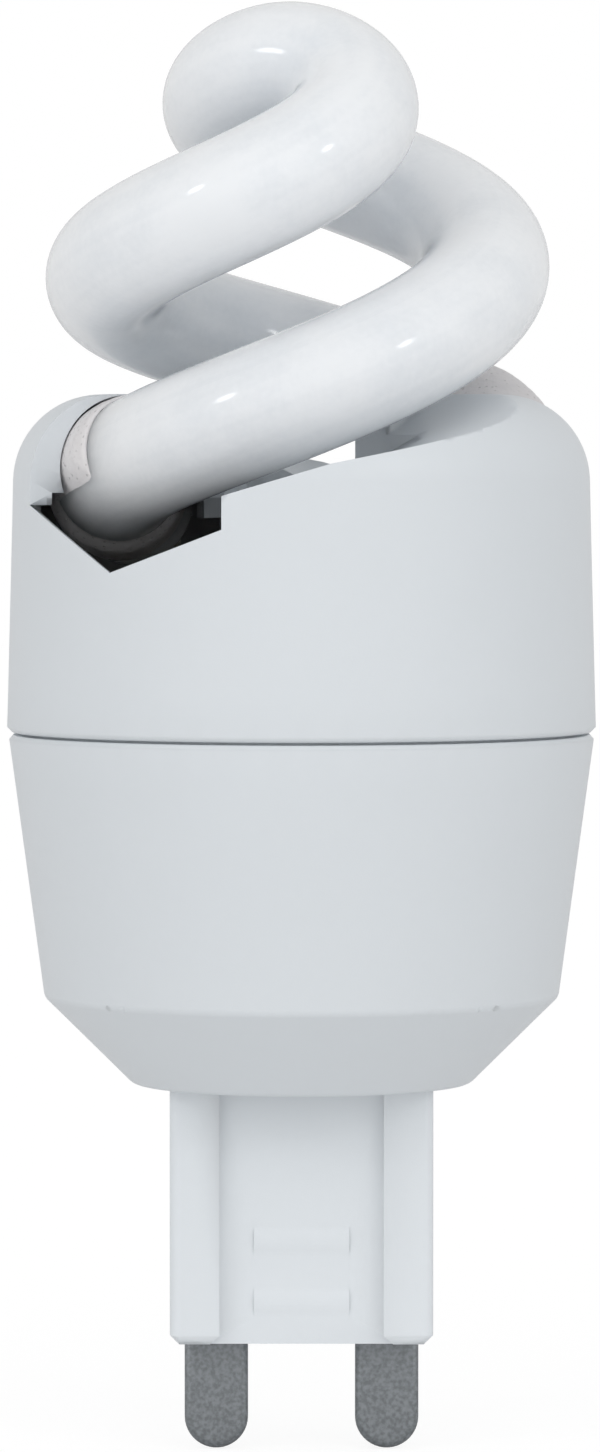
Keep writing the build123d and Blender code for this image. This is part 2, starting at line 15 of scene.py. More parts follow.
import bmesh
import bpy
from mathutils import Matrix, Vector


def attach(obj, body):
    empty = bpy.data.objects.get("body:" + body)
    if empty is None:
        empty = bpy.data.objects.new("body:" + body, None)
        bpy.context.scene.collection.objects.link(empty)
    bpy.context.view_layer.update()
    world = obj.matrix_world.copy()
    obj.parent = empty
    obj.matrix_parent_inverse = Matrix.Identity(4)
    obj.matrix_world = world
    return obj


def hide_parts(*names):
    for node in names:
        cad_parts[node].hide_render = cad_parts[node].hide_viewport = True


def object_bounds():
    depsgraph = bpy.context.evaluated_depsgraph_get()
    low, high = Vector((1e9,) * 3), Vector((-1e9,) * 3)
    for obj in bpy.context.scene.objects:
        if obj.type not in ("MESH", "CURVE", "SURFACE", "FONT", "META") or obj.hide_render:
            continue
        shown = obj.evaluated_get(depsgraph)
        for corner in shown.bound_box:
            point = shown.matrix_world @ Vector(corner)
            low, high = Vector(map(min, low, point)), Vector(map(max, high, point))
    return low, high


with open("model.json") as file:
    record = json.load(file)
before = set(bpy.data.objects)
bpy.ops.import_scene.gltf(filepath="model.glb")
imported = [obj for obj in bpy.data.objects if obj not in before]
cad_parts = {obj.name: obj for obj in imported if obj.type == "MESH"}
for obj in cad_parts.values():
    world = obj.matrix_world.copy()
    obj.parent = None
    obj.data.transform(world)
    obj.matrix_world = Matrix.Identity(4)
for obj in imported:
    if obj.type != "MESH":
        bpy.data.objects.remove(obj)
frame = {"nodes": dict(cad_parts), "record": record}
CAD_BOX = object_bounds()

LOG = logging.getLogger("lamp")
MM = 0.001
BODY = "root"
WHITE = (1.0, 1.0, 1.0, 1.0)
MIX_COLOUR_INPUTS = (6, 7)
MIX_COLOUR_OUTPUT = 2

Colour = tuple[float, float, float]
Key = Union[int, str]


class Hand(Enum):
    """The two strands of the glass, named after the side on which the camera sees their ends."""

    LEFT = -1
    RIGHT = 1


class Value:
    """An output of a node that arithmetic works on: each operation adds a Math node to the same graph."""

    def __init__(self, graph: "Graph", socket: bpy.types.NodeSocket) -> None:
        """Wraps a socket.

        Args:
            graph: The graph that the socket belongs to.
            socket: The output to wrap.
        """
        self.graph = graph
        self.socket = socket

    def math(self, operation: str, *others: Any) -> "Value":
        """Adds a Math node that works on this value.

        Args:
            operation: Blender's name of the operation.
            others: The other operands.

        Returns:
            The result.
        """
        return self.graph.add("ShaderNodeMath", {"operation": operation}, dict(enumerate((self, *others))))

    def flipped(self, operation: str, other: Any) -> "Value":
        """Adds a Math node that has this value as its second operand.

        Args:
            operation: Blender's name of the operation.
            other: The first operand.

        Returns:
            The result.
        """
        return self.graph.add("ShaderNodeMath", {"operation": operation}, {0: other, 1: self})

    def __add__(self, other: Any) -> "Value":
        """Sum."""
        return self.math("ADD", other)

    __radd__ = __add__

    def __sub__(self, other: Any) -> "Value":
        """Difference."""
        return self.math("SUBTRACT", other)

    def __rsub__(self, other: Any) -> "Value":
        """Difference from a number."""
        return self.flipped("SUBTRACT", other)

    def __mul__(self, other: Any) -> "Value":
        """Product."""
        return self.math("MULTIPLY", other)

    __rmul__ = __mul__

    def __truediv__(self, other: Any) -> "Value":
        """Quotient."""
        return self.math("DIVIDE", other)

    def __rtruediv__(self, other: Any) -> "Value":
        """Quotient of a number and this value."""
        return self.flipped("DIVIDE", other)

    def __pow__(self, other: Any) -> "Value":
        """Power."""
        return self.math("POWER", other)

    def __neg__(self) -> "Value":
        """Negative."""
        return self * -1.0

    def spread(self, low: float, high: float) -> "Value":
        """Eases from 0 at one level to 1 at another.

        Args:
            low: The level that gives 0.
            high: The level that gives 1.

        Returns:
            The eased value.
        """
        inputs = {"Value": self, "From Min": low, "From Max": high}
        return self.graph.add("ShaderNodeMapRange", {"interpolation_type": "SMOOTHSTEP"}, inputs)

    def part(self, axis: str) -> "Value":
        """One coordinate of a vector."""
        return self.graph.add("ShaderNodeSeparateXYZ", None, {0: self}, axis)


class Graph:
    """A shader or geometry node tree, filled by one method."""

    def __init__(self, tree: bpy.types.NodeTree) -> None:
        """Empties a tree and takes it over.

        Args:
            tree: The tree to fill.
        """
        self.tree = tree
        tree.nodes.clear()

    def add(
        self,
        kind: str,
        settings: Optional[dict[str, Any]] = None,
        inputs: Optional[dict[Key, Any]] = None,
        output: Key = 0,
    ) -> Value:
        """Adds a node.

        Args:
            kind: Blender's name of the node type.
            settings: The node's own settings, which are set first.
            inputs: A value, a wrapped socket or a list of them for each input.
            output: The output to return.

        Returns:
            The chosen output, or the first input of a node that has no output.
        """
        node = self.tree.nodes.new(kind)
        for name, setting in (settings or {}).items():
            setattr(node, name, setting)
        for key, value in (inputs or {}).items():
            for source in value if isinstance(value, list) else [value]:
                if isinstance(source, Value):
                    self.tree.links.new(source.socket, node.inputs[key])
                else:
                    node.inputs[key].default_value = source
        return Value(self, node.outputs[output] if node.outputs else node.inputs[0])

    def place(self) -> Value:
        """The point on the piece, in object coordinates."""
        return self.add("ShaderNodeTexCoord", output="Object")

    def noise(self, size: float, detail: float = 2.0, place: Optional[Value] = None) -> Value:
        """Smooth noise from 0 to 1.

        Args:
            size: The size of its patches.
            detail: How many finer layers it has.
            place: Where it is read, when not at the object coordinates.

        Returns:
            The noise.
        """
        inputs = {"Vector": place or self.place(), "Scale": 1.0 / size, "Detail": detail}
        return self.add("ShaderNodeTexNoise", None, inputs, "Fac")

    def blend(self, share: Any, first: Any, second: Any) -> Value:
        """Mixes two colours.

        Args:
            share: How much of the second colour there is.
            first: The colour at 0.
            second: The colour at 1.

        Returns:
            The mixed colour.
        """
        inputs: dict[Key, Any] = {0: share}
        for key, colour in zip(MIX_COLOUR_INPUTS, (first, second)):
            inputs[key] = colour if isinstance(colour, Value) else (*colour, 1.0)
        return self.add("ShaderNodeMix", {"data_type": "RGBA"}, inputs, MIX_COLOUR_OUTPUT)

    def bump(self, height: Value, depth: float, under: Optional[Value] = None) -> Value:
        """Turns a height into a shading normal.

        Args:
            height: The height, from 0 to 1.
            depth: How deep a height of 1 is.
            under: The normal of a coarser layer.

        Returns:
            The normal.
        """
        inputs: dict[Key, Any] = {"Height": height, "Distance": depth, "Strength": 1.0}
        if under is not None:
            inputs["Normal"] = under
        return self.add("ShaderNodeBump", None, inputs)


def shade(colour: Colour, factor: float) -> Colour:
    """Makes a colour lighter or darker.

    Args:
        colour: The colour.
        factor: What it is multiplied by.

    Returns:
        The new colour, held under 1.
    """
    return tuple(min(1.0, part * factor) for part in colour)


@dataclass(frozen=True)
class Finish:
    """What every finish has: its slot in the record, its colour and roughness, its patches and its grain."""

    slot: str
    colour: Colour
    roughness: float = 0.5
    metallic: float = 0.0
    unevenness: float = 0.1
    patch_size: float = 1.2 * MM
    grain_size: float = 0.12 * MM
    grain_depth: float = 0.006 * MM

    def toned(self, graph: Graph, tone: Value, dark: float, light: float) -> Value:
        """Varies the finish's colour between a darker and a lighter shade of it.

        Args:
            graph: The material's graph.
            tone: What decides between the shades, from 0 to 1.
            dark: How bright the darker shade is beside the colour.
            light: How bright the lighter shade is beside the colour.

        Returns:
            The varied colour.
        """
        return graph.blend(tone, shade(self.colour, dark), shade(self.colour, light))

    def uneven(self, tone: Value) -> Value:
        """The roughness, varied by a tone from 0 to 1."""
        return tone * self.unevenness + (self.roughness - self.unevenness / 2)

    def paint(self, graph: Graph) -> dict[str, Any]:
        """Makes what varies over the surface.

        Args:
            graph: The material's graph.

        Returns:
            The shader's inputs by name.
        """
        patches = graph.noise(self.patch_size, 3.0)
        return {
            "Base Color": self.toned(graph, patches, 0.92, 1.06),
            "Roughness": self.uneven(patches),
            "Normal": graph.bump(graph.noise(self.grain_size), self.grain_depth),
        }

    def material(self) -> bpy.types.Material:
        """Makes the material.

        Returns:
            A material with the finish's own nodes.
        """
        material = bpy.data.materials.new(self.slot)
        material.use_nodes = True
        graph = Graph(material.node_tree)
        inputs = {"Metallic": self.metallic, **self.fixed(), **self.paint(graph)}
        shader = graph.add("ShaderNodeBsdfPrincipled", None, inputs)
        graph.add("ShaderNodeOutputMaterial", None, {"Surface": shader})
        return material

    def fixed(self) -> dict[str, Any]:
        """The shader's inputs that are the same all over."""
        return {}


@dataclass(frozen=True)
class MouldedPlastic(Finish):
    """Glossy white plastic out of a finely blasted mould, with painted shade darkening the inside of the cap.
    """

    unevenness: float = 0.08
    patch_size: float = 9.0 * MM
    speck_size: float = 0.5 * MM
    grain_size: float = 0.09 * MM
    grain_depth: float = 0.0025 * MM
    flow_depth: float = 0.02 * MM
    stain: float = 0.025
    gloss: float = 0.5
    # Painted shade inside the cap: how dark it is, and the radius, heights and soft edge of where it falls.
    cap_shade: float = 0.6
    cap_shade_radius: float = 14.3 * MM
    cap_shade_foot: float = 34.0 * MM
    cap_shade_top: float = 44.4 * MM
    cap_shade_edge: float = 0.1 * MM

    def outside_cap_shade(self, graph: Graph) -> Value:
        """Tells where the painted shade inside the cap falls.

        Args:
            graph: The material's graph.

        Returns:
            0 within the painted shade's radius and height, and 1 beyond them.
        """
        place = graph.place()
        across, deep, up = (place.part(axis) for axis in "XYZ")
        radius = (across * across + deep * deep) ** 0.5
        beyond = radius.spread(self.cap_shade_radius - self.cap_shade_edge, self.cap_shade_radius)
        above = up.spread(self.cap_shade_top - self.cap_shade_edge, self.cap_shade_top)
        below = 1.0 - up.spread(self.cap_shade_foot, self.cap_shade_foot + self.cap_shade_edge)
        return beyond.math("MAXIMUM", above).math("MAXIMUM", below)

    def paint(self, graph: Graph) -> dict[str, Any]:
        """Gives soft clouds of tone, a blasted grain, faint flow marks and the painted shade inside the cap.

        Args:
            graph: The material's graph.

        Returns:
            The shader's inputs by name.
        """
        clouds = graph.noise(self.patch_size, 3.0)
        specks = graph.noise(self.speck_size, 3.0)
        grain = graph.noise(self.grain_size, 1.0)
        tone = clouds * 0.7 + specks * 0.3
        unshaded = self.toned(graph, tone, 1 - self.stain, 1 + self.stain)
        return {
            # Painted shade: the colour is darker inside the cap, where the mask is 0.
            "Base Color": graph.blend(self.outside_cap_shade(graph), shade(self.colour, self.cap_shade), unshaded),
            "Roughness": self.uneven(specks),
            "Normal": graph.bump(grain, self.grain_depth, graph.bump(clouds, self.flow_depth)),
        }

    def fixed(self) -> dict[str, Any]:
        """The plastic's gloss."""
        return {"IOR": 1.46, "Specular IOR Level": self.gloss}


@dataclass(frozen=True)
class CoatedGlass(Finish):
    """Clear glass with a white powder coating on its inside, and painted shade that darkens it at the rim.

    The size of its lines is a share of the way round the tube.
    """

    patch_size: float = 5.0 * MM
    grain_size: float = 0.35 * MM
    line_size: float = 0.05
    line_draw: float = 0.02
    wave_depth: float = 0.03 * MM
    thin: Colour = (0.70, 0.73, 0.765)
    cover: tuple[float, float] = (0.30, 0.62)
    # Painted shade at the rim: its colour, and the facing over which it comes in.
    painted_rim_colour: Colour = (0.36, 0.38, 0.415)
    painted_rim: tuple[float, float] = (0.78, 1.0)
    soften: float = 1.0
    scatter: float = 7.5 * MM

    def paint(self, graph: Graph) -> dict[str, Any]:
        """Gives the powder its clouds, fine specks and faint lines along the tube, and paints shade at the
        rim.

        Args:
            graph: The material's graph.

        Returns:
            The shader's inputs by name.
        """
        along, around = (
            graph.add("ShaderNodeAttribute", {"attribute_name": name}, None, "Fac")
            for name in ("along", "around")
        )
        unrolled = {"X": along * self.line_draw, "Y": around, "Z": 0.0}
        lines = graph.noise(self.line_size, 2.0, graph.add("ShaderNodeCombineXYZ", None, unrolled))
        clouds = graph.noise(self.patch_size, 4.0)
        specks = graph.noise(self.grain_size, 3.0)
        cover = (clouds * 0.6 + lines * 0.25 + specks * 0.15).spread(*self.cover)
        powder = graph.blend(cover, self.thin, self.colour)
        # Painted shade: the colour darkens towards the tube's silhouette, where the surface turns away from
        # the camera.
        painted_rim = graph.add("ShaderNodeLayerWeight", None, {"Blend": 0.5}, "Facing").spread(*self.painted_rim)
        return {
            "Base Color": graph.blend(painted_rim, powder, self.painted_rim_colour),
            "Roughness": self.uneven(specks),
            "Normal": graph.bump(clouds, self.wave_depth),
        }

    def fixed(self) -> dict[str, Any]:
        """The clear outer skin, and light that spreads in the powder."""
        return {
            "Specular IOR Level": 0.0,
            "Coat Weight": 1.0,
            "Coat Roughness": 0.12,
            "Coat IOR": 1.52,
            "Subsurface Weight": self.soften,
            "Subsurface Scale": self.scatter,
            "Subsurface Radius": (1.0, 1.0, 1.0),
        }


@dataclass(frozen=True)
class PlatedMetal(Finish):
    """Dull plated sheet, faintly mottled and scratched along its length."""

    unevenness: float = 0.14
    patch_size: float = 0.22 * MM
    grain_size: float = 0.06 * MM
    grain_depth: float = 0.004 * MM
    scratch_draw: float = 0.08
    scratch_roughness: float = 0.08

    def paint(self, graph: Graph) -> dict[str, Any]:
        """Gives the plating its mottle and fine drawn scratches.

        Args:
            graph: The material's graph.

        Returns:
            The shader's inputs by name.
        """
        mottle = graph.noise(self.patch_size, 5.0).spread(0.3, 0.7)
        drawn = {"Vector": graph.place(), "Scale": (1.0, 1.0, self.scratch_draw)}
        scratches = graph.noise(self.grain_size, 2.0, graph.add("ShaderNodeMapping", None, drawn))
        return {
            "Base Color": self.toned(graph, mottle, 0.78, 1.2),
            "Roughness": self.uneven(mottle) + (scratches - 0.5) * self.scratch_roughness,
            "Normal": graph.bump(scratches, self.grain_depth),
        }


@dataclass(frozen=True)
class RoughCement(Finish):
    """Set white cement with pores and crumbs."""

    patch_size: float = 2.2 * MM
    pore_size: float = 0.35 * MM
    grain_size: float = 0.5 * MM
    grain_depth: float = 0.08 * MM

    def paint(self, graph: Graph) -> dict[str, Any]:
        """Gives the cement its crumbs, pores darkened with painted shade, and dull stains.

        Args:
            graph: The material's graph.

        Returns:
            The shader's inputs by name.
        """
        crumbs = graph.noise(self.grain_size, 4.0)
        stained = self.toned(graph, graph.noise(self.patch_size), 0.86, 1.0)
        inputs = {"Vector": graph.place(), "Scale": 1.0 / self.pore_size}
        pores = graph.add("ShaderNodeTexVoronoi", None, inputs, "Distance").spread(0.05, 0.3)
        return {
            # Painted shade: the colour is darker in the pores.
            "Base Color": graph.blend(pores, shade(self.colour, 0.7), stained),
            "Roughness": self.uneven(crumbs),
            "Normal": graph.bump(crumbs * pores, self.grain_depth),
        }


@dataclass(frozen=True)
class WoundWire(Finish):
    """Turns of fine enamelled wire."""

    patch_size: float = 1.0 * MM
    pitch: float = 0.28 * MM

    def paint(self, graph: Graph) -> dict[str, Any]:
        """Gives the winding its turns, with painted shade in the grooves between them.

        Args:
            graph: The material's graph.

        Returns:
            The shader's inputs by name.
        """
        turns = (graph.place().part("Z") * (pi / self.pitch)).math("SINE").math("ABSOLUTE")
        tint = graph.noise(self.patch_size)
        return {
            # Painted shade: the colour is darker in the grooves between the turns.
            "Base Color": graph.blend(turns, self.toned(graph, tint, 0.5, 0.6), self.colour),
            "Roughness": self.uneven(tint),
            "Normal": graph.bump(turns, 0.5 * self.pitch),
        }


@dataclass(frozen=True)
class Laminate(Finish):
    """Pressed paper board with a woven look."""

    patch_size: float = 3.0 * MM
    grain_size: float = 0.2 * MM
    grain_depth: float = 0.01 * MM

    def paint(self, graph: Graph) -> dict[str, Any]:
        """Gives the board its fibres and darker specks.

        Args:
            graph: The material's graph.

        Returns:
            The shader's inputs by name.
        """
        fibres = graph.noise(self.grain_size, 4.0)
        patched = self.toned(graph, graph.noise(self.patch_size, 3.0), 0.8, 1.1)
        return {
            "Base Color": graph.blend(fibres.spread(0.35, 0.6), shade(self.colour, 0.7), patched),
            "Roughness": self.uneven(fibres),
            "Normal": graph.bump(fibres, self.grain_depth),
        }


FINISHES: dict[str, Finish] = {
    finish.slot: finish
    for finish in (
        CoatedGlass("coated_glass", (0.79, 0.815, 0.845), 0.35),
        MouldedPlastic("housing_plastic", (0.68, 0.715, 0.745), 0.36),
        MouldedPlastic("base_plastic", (0.735, 0.77, 0.80), 0.34),
        PlatedMetal("nickel_plate", (0.225, 0.24, 0.252), 0.42, 0.85),
        RoughCement("cement", (0.80, 0.78, 0.785), 0.85),
        Laminate("board_laminate", (0.33, 0.22, 0.10), 0.6),
        Finish("capacitor_sleeve", (0.03, 0.032, 0.04), 0.3),
        Finish("capacitor_dip", (0.32, 0.045, 0.025), 0.25),
        Finish("ferrite", (0.035, 0.035, 0.038), 0.6),
        WoundWire("enamelled_copper", (0.45, 0.13, 0.04), 0.3, 0.6),
        Finish("bobbin_plastic", (0.03, 0.03, 0.03), 0.45),
        PlatedMetal("tinned_wire", (0.55, 0.55, 0.53), 0.35, 0.95),
        Finish("moulded_epoxy", (0.02, 0.02, 0.02), 0.5),
        Finish("resistor_lacquer", (0.12, 0.21, 0.17), 0.35),
        Finish("wire_sleeve", (0.55, 0.5, 0.42), 0.4),
    )
}


class Paintshop:
    """Holds one material for each slot of the record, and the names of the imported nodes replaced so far."""

    def __init__(self) -> None:
        """Starts with no materials and nothing replaced."""
        self.materials: dict[str, bpy.types.Material] = {}
        self.replaced: set[str] = set()

    def material(self, slot: str) -> bpy.types.Material:
        """Gives the material of a slot, made when it is first asked for.

        Args:
            slot: The slot's name in the record.

        Returns:
            Its material.
        """
        if slot not in self.materials:
            self.materials[slot] = FINISHES[slot].material()
        return self.materials[slot]

    def coat(self, piece: bpy.types.Object, slot: str) -> None:
        """Puts the slot's material on a piece, and nothing else.

        Args:
            piece: The piece.
            slot: The slot's name in the record.
        """
        piece.data.materials.clear()
        piece.data.materials.append(self.material(slot))

    def carry(self, piece: bpy.types.Object, slot: str, *nodes: str) -> None:
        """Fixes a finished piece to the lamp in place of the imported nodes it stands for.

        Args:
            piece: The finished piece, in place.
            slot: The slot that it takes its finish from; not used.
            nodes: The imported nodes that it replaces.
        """
        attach(piece, BODY)
        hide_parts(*nodes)
        self.replaced.update(nodes)
        LOG.info("%s stands for %s, %d faces", piece.name, ", ".join(nodes), len(piece.data.polygons))


def new_object(name: str, data: Any) -> bpy.types.Object:
    """Makes an object and puts it in the scene.

    Args:
        name: Its name.
        data: Its mesh, camera or light.

    Returns:
        The object.
    """
    made = bpy.data.objects.new(name, data)
    bpy.context.scene.collection.objects.link(made)
    return made


def settled(maker: bpy.types.Object, name: str) -> bpy.types.Object:
    """Turns what an object's modifiers give into a plain mesh, and drops the object.

    Args:
        maker: The object with its modifiers.
        name: The name of the new piece.

    Returns:
        A new object with the finished mesh.
    """
    bpy.context.view_layer.update()
    evaluated = maker.evaluated_get(bpy.context.evaluated_depsgraph_get())
    mesh = bpy.data.meshes.new_from_object(evaluated)
    mesh.name = name
    bpy.data.objects.remove(maker)
    return new_object(name, mesh)


class Recipe(Graph):
    """A geometry node tree with named inputs."""

    def __init__(self, name: str) -> None:
        """Starts an empty recipe.

        Args:
            name: The tree's name.
        """
        super().__init__(bpy.data.node_groups.new(name, "GeometryNodeTree"))
        self.tree.interface.new_socket("Geometry", in_out="OUTPUT", socket_type="NodeSocketGeometry")
        self.sizes: dict[str, Union[int, float]] = {}

    def size(self, name: str, value: Union[int, float]) -> Value:
        """Adds a named input for a size.

        Args:
            name: The input's name.
            value: Its value in this lamp.

        Returns:
            The input.
        """
        kind = "NodeSocketInt" if isinstance(value, int) else "NodeSocketFloat"
        socket = self.tree.interface.new_socket(name, in_out="INPUT", socket_type=kind)
        self.sizes[socket.identifier] = value
        return self.add("NodeGroupInput", output=name)

    def along(self, measure: str = "Factor") -> Value:
        """How far along its curve each point is."""
        return self.add("GeometryNodeSplineParameter", output=measure)

    def ring(self, sides: int) -> Value:
        """A circle of radius 1."""
        inputs = {"Resolution": self.size("Sides", sides), "Radius": 1.0}
        return self.add("GeometryNodeCurvePrimitiveCircle", None, inputs)

    def marked(self, shape: Value, name: str, number: Value) -> Value:
        """Stores a number at each point of a shape.

        Args:
            shape: The shape.
            name: The name under which the number can be read again.
            number: The number.

        Returns:
            The shape with its numbers.
        """
        inputs = {"Geometry": shape, "Name": name, "Value": number}
        return self.add("GeometryNodeStoreNamedAttribute", {"data_type": "FLOAT"}, inputs)

    def finish(self, geometry: Value, material: bpy.types.Material) -> None:
        """Ends the recipe with real geometry in one material.

        Args:
            geometry: What the recipe made.
            material: Its material.
        """
        real = self.add("GeometryNodeRealizeInstances", None, {"Geometry": geometry})
        dressed = self.add("GeometryNodeSetMaterial", None, {"Geometry": real, "Material": material})
        self.add("NodeGroupOutput", None, {"Geometry": dressed})

    def bake(self, name: str) -> bpy.types.Object:
        """Runs the recipe.

        Args:
            name: The new piece's name.

        Returns:
            The piece, as a plain mesh.
        """
        maker = new_object(name + ".maker", bpy.data.meshes.new(name + ".maker"))
        modifier = maker.modifiers.new(name, "NODES")
        modifier.node_group = self.tree
        for identifier, value in self.sizes.items():
            modifier[identifier] = value
        return settled(maker, name)


@dataclass
class GlassCoil:
    """The discharge tube: one round tube that leaves the axis at the top and winds down as a double helix.

    A sweep is the formula's own angle along the tube, in radians from the middle of the top.
    """

    tube_radius: float = 3.299 * MM
    coil_radius: float = 10.05 * MM
    pitch: float = 20.95 * MM
    top: float = 67.05 * MM
    foot: float = 45.55 * MM
    turn: float = 366.0
    crossing_angle: float = -24.4
    crossing_sweep: float = 2.757
    crossing_start: float = 2.134
    crossing_corner: float = 5.4
    crown_ease: float = 1.333
    end_round: float = 1.2 * MM
    lean_front: float = 5.6
    lean_side: float = -2.8
    shift: float = 0.3 * MM
    steps: int = 720
    sides: int = 56

    def sweep_at(self, turn: float) -> float:
        """The sweep at which a strand has turned so many degrees."""
        full = radians(turn) + self.crossing_start
        return (full**2 - self.crossing_start**2) ** 0.5

    def centre_line(self, made: Recipe, first: float, last: float, steps: int) -> Value:
        """Lays the line that the tube follows.

        Args:
            made: The recipe to lay it in.
            first: The sweep at which it starts.
            last: The sweep at which it ends.
            steps: How many points it has.

        Returns:
            The line, upright over the coil's foot.
        """
        coil = made.size("Coil radius", self.coil_radius)
        pitch = made.size("Pitch", self.pitch)
        top = made.size("Top over foot", self.top - self.foot)
        start = made.size("Crossing angle", radians(self.crossing_angle))
        width = made.size("Crossing sweep", self.crossing_sweep)
        turn_in = made.size("Crossing start", self.crossing_start)
        corner = made.size("Crossing corner", self.crossing_corner)
        ease = made.size("Crown ease", self.crown_ease)
        begin = made.size("First sweep", first)
        end = made.size("Last sweep", last)
        count = made.size("Steps", steps)

        line = made.add("GeometryNodeCurvePrimitiveLine")
        points = made.add("GeometryNodeResampleCurve", None, {"Curve": line, "Count": count})
        share = made.along()
        sweep = begin + share * (end - begin)
        reach = sweep.math("ABSOLUTE")
        radius = coil * sweep / (reach**corner + width**corner) ** (1.0 / corner)
        angle = start - (sweep * sweep + turn_in * turn_in) ** 0.5 + turn_in
        drop = pitch / (2 * pi) * ((sweep * sweep + ease * ease) ** 0.5 - ease)
        parts = {"X": radius * angle.math("COSINE"), "Y": radius * angle.math("SINE"), "Z": top - drop}
        place = made.add("ShaderNodeCombineXYZ", None, parts)
        return made.add("GeometryNodeSetPosition", None, {"Geometry": points, "Position": place})

    def seated(self, made: Recipe, shape: Value) -> Value:
        """Leans a shape as the coil leans and sets it on the coil's foot.

        Args:
            made: The recipe that the shape is in.
            shape: The shape, upright.

        Returns:
            The shape in its place in the lamp.
        """
        inputs = {
            "Geometry": shape,
            "Translation": (self.shift, 0.0, self.foot),
            "Rotation": (radians(self.lean_front), radians(self.lean_side), 0.0),
        }
        placed = made.add("GeometryNodeTransform", None, inputs)
        return made.add("GeometryNodeSetShadeSmooth", None, {"Geometry": placed, "Shade Smooth": True})

    def recipe(self, material: bpy.types.Material) -> Recipe:
        """Writes the tube's rule as a geometry node tree.

        Args:
            material: The tube's material.

        Returns:
            The recipe.
        """
        made = Recipe("wound_tube")
        tube = made.size("Tube radius", self.tube_radius)
        rounding = made.size("End round", self.end_round)
        end = self.sweep_at(self.turn)
        wound = self.centre_line(made, -end, end, self.steps)

        walked = made.along("Length")
        to_end = walked.math("MINIMUM", made.add("GeometryNodeSplineLength", output="Length") - walked)
        bite = (rounding - to_end).math("MAXIMUM", 0.0)
        thickness = tube - rounding + (rounding * rounding - bite * bite) ** 0.5
        path = made.marked(wound, "along", walked)
        ring = made.marked(made.ring(self.sides), "around", made.along())
        inputs = {"Curve": path, "Profile Curve": ring, "Scale": thickness, "Fill Caps": True}
        skin = made.add("GeometryNodeCurveToMesh", None, inputs)
        made.finish(self.seated(made, skin), material)
        return made

    def build(self, paints: Paintshop) -> None:
        """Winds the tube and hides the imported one.

        Args:
            paints: The lamp's materials.
        """
        piece = self.recipe(paints.material("coated_glass")).bake("wound_glass")
        paints.carry(piece, "coated_glass", "discharge_tube")


@dataclass
class SealingCement:
    """The lumpy white cement round each end of the glass, just inside the cap's window.

    It fills the gap over the upper side of the glass, and goes all round it deeper in.
    """

    coil: GlassCoil = field(default_factory=GlassCoil)
    grip: float = 0.04 * MM
    reach: float = 0.37 * MM
    least: float = 0.8
    lumpiness: float = 0.3
    lump_size: float = 0.7 * MM
    first_turn: float = 303.0
    last_turn: float = 350.0
    upper_side: tuple[float, float] = (-0.35, 0.25)
    all_round: tuple[float, float] = (0.5, 0.7)
    end_taper: float = 0.25
    weld: float = 0.001 * MM
    steps: int = 60
    sides: int = 160

    def height(self, made: Recipe, outward: Value) -> Value:
        """Works out how far the outer skin stands off the inner one, which is nothing at both ends.

        Args:
            made: The bead's recipe.
            outward: The inner skin's normal.

        Returns:
            The height at each point.
        """
        reach = made.size("Reach", self.reach)
        half_grip = made.size("Grip", self.grip) * 0.5
        share = made.add("GeometryNodeInputNamedAttribute", {"data_type": "FLOAT"}, {"Name": "share"})
        swell = (share * pi).math("SINE").math("MAXIMUM", 0.0) ** self.end_taper
        upper = outward.part("Z").spread(*self.upper_side)
        filled = upper.math("MAXIMUM", share.spread(*self.all_round))
        lumps = made.noise(self.lump_size, 3.0, made.add("GeometryNodeInputPosition"))
        lumpy = reach * (lumps * self.lumpiness + self.least)
        return (half_grip + filled * (half_grip + lumpy)) * swell

    def recipe(self, hand: Hand, material: bpy.types.Material) -> Recipe:
        """Writes the bead's rule: an inner and an outer skin that meet at both ends.

        Args:
            hand: The strand that the bead goes round.
            material: The bead's material.

        Returns:
            The recipe.
        """
        made = Recipe("sealing_bead")
        hole = made.size("Hole radius", self.coil.tube_radius - self.grip)
        turns = (self.first_turn, self.last_turn)
        first, last = (hand.value * self.coil.sweep_at(turn) for turn in turns)
        line = self.coil.centre_line(made, first, last, self.steps)
        path = made.marked(line, "share", made.along())
        inputs = {"Curve": path, "Profile Curve": made.ring(self.sides), "Scale": hole}
        skin = made.add("GeometryNodeCurveToMesh", None, inputs)

        outward = made.add("GeometryNodeInputNormal")
        inputs = {0: outward, "Scale": self.height(made, outward)}
        lift = made.add("ShaderNodeVectorMath", {"operation": "SCALE"}, inputs)
        lumpy = made.add("GeometryNodeSetPosition", None, {"Geometry": skin, "Offset": lift})
        turned = made.add("GeometryNodeFlipFaces", None, {"Mesh": skin})
        both = made.add("GeometryNodeJoinGeometry", None, {"Geometry": [lumpy, turned]})
        inputs = {"Geometry": both, "Distance": self.weld}
        closed = made.add("GeometryNodeMergeByDistance", None, inputs)
        made.finish(self.coil.seated(made, closed), material)
        return made

    def build(self, paints: Paintshop) -> None:
        """Lays both beads.

        Args:
            paints: The lamp's materials.
        """
        for hand in Hand:
            name = hand.name.lower()
            piece = self.recipe(hand, paints.material("cement")).bake("cement_bead_" + name)
            paints.carry(piece, "cement", "tube_cement_" + name)


